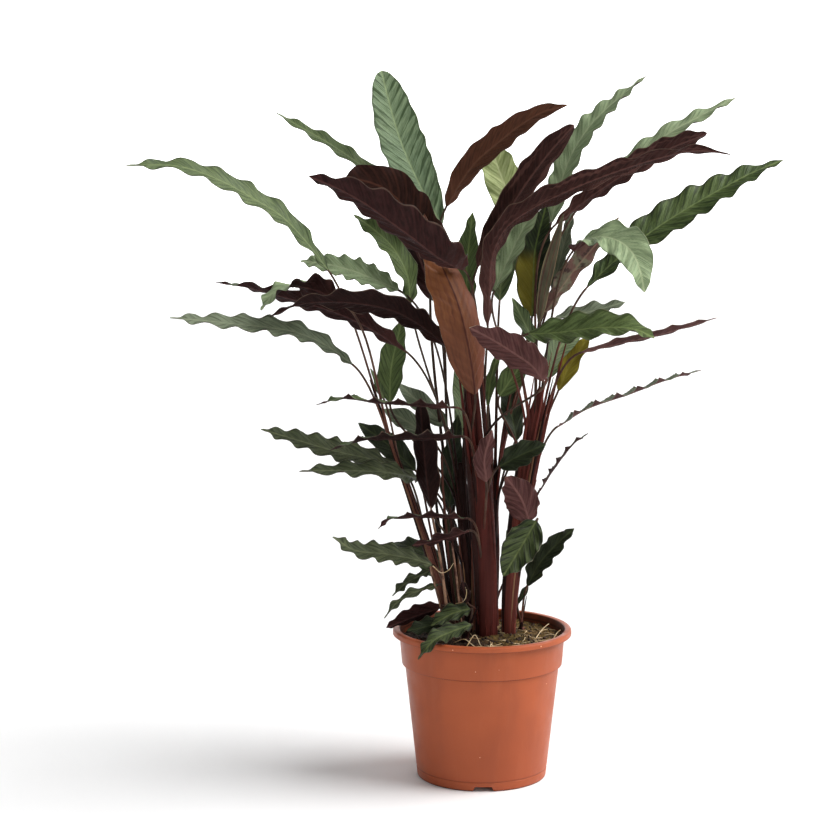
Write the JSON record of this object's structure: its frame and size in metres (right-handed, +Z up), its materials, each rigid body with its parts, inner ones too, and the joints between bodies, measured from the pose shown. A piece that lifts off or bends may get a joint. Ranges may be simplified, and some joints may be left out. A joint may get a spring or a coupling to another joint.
{
  "type": "potted calathea",
  "caption": "Leafy house plant with long wavy-edged leaves on thin stems, in soil, in a round plastic nursery pot.",
  "frame": {"origin": "on the floor, in the middle of the pot's round centre foot", "axes": "+Z up, -Y to the front, +X to the right seen from the front"},
  "size_m": [0.7516, 0.3609, 0.8242],
  "materials": {
    "pot": "terracotta-coloured polypropylene, satin, faint scuffs and pale specks",
    "soil": "moist peat with moss and pale fine roots, rough",
    "stem": "dark red-brown ribbed stalks, soft sheen",
    "leaf": "green with darker slanted stripes above, maroon and velvety below"
  },
  "bodies": {
    "root": {"pot": "pot", "soil": "soil", "shoot_front": "stem", "shoot_right": "stem", "shoot_left": "stem", "shoot_dark": "stem", "shoot_back": "stem", "shoot_back_left": "stem", "shoot_small_right": "stem", "shoot_low_front": "stem", "leaf_edge_upper": "leaf", "leaf_edge_lower": "leaf", "leaf_dark_arch": "leaf", "leaf_amber": "leaf", "leaf_plum_upright": "leaf", "leaf_plum_long": "leaf", "leaf_mauve_fan": "leaf", "leaf_edge_low_a": "leaf", "leaf_grey_upright": "leaf", "leaf_green_across": "leaf", "leaf_right_purple_edge": "leaf", "leaf_right_thin_edge": "leaf", "leaf_right_low_edge": "leaf", "leaf_right_long": "leaf", "leaf_pale_droop": "leaf", "leaf_mottled": "leaf", "leaf_right_dark": "leaf", "leaf_mauve_low": "leaf", "leaf_green_low_front": "leaf", "leaf_left_high": "leaf", "leaf_left_long": "leaf", "leaf_left_curl": "leaf", "leaf_left_low_upper": "leaf", "leaf_left_base": "leaf", "leaf_rim_left": "leaf", "leaf_left_low_lower": "leaf", "leaf_under_upper": "leaf", "leaf_under_big": "leaf", "leaf_wavy_left": "leaf", "leaf_mid_left": "leaf", "leaf_stand_left": "leaf", "leaf_dark_upright": "leaf", "leaf_arch_back": "leaf", "leaf_top_broad": "leaf", "leaf_top_right": "leaf", "leaf_olive_centre": "leaf", "leaf_green_upright": "leaf", "leaf_pale_back": "leaf", "leaf_back_fan_c": "leaf", "leaf_back_fan_d": "leaf", "leaf_back_fan_e": "leaf", "leaf_back_low_b": "leaf", "leaf_top_left_narrow": "leaf", "leaf_back_fan_a": "leaf", "leaf_back_fan_b": "leaf", "leaf_back_low_a": "leaf", "leaf_brown_arch": "leaf", "leaf_right_base": "leaf", "leaf_pot_green": "leaf", "leaf_over_rim": "leaf"}
  },
  "joints": []
}
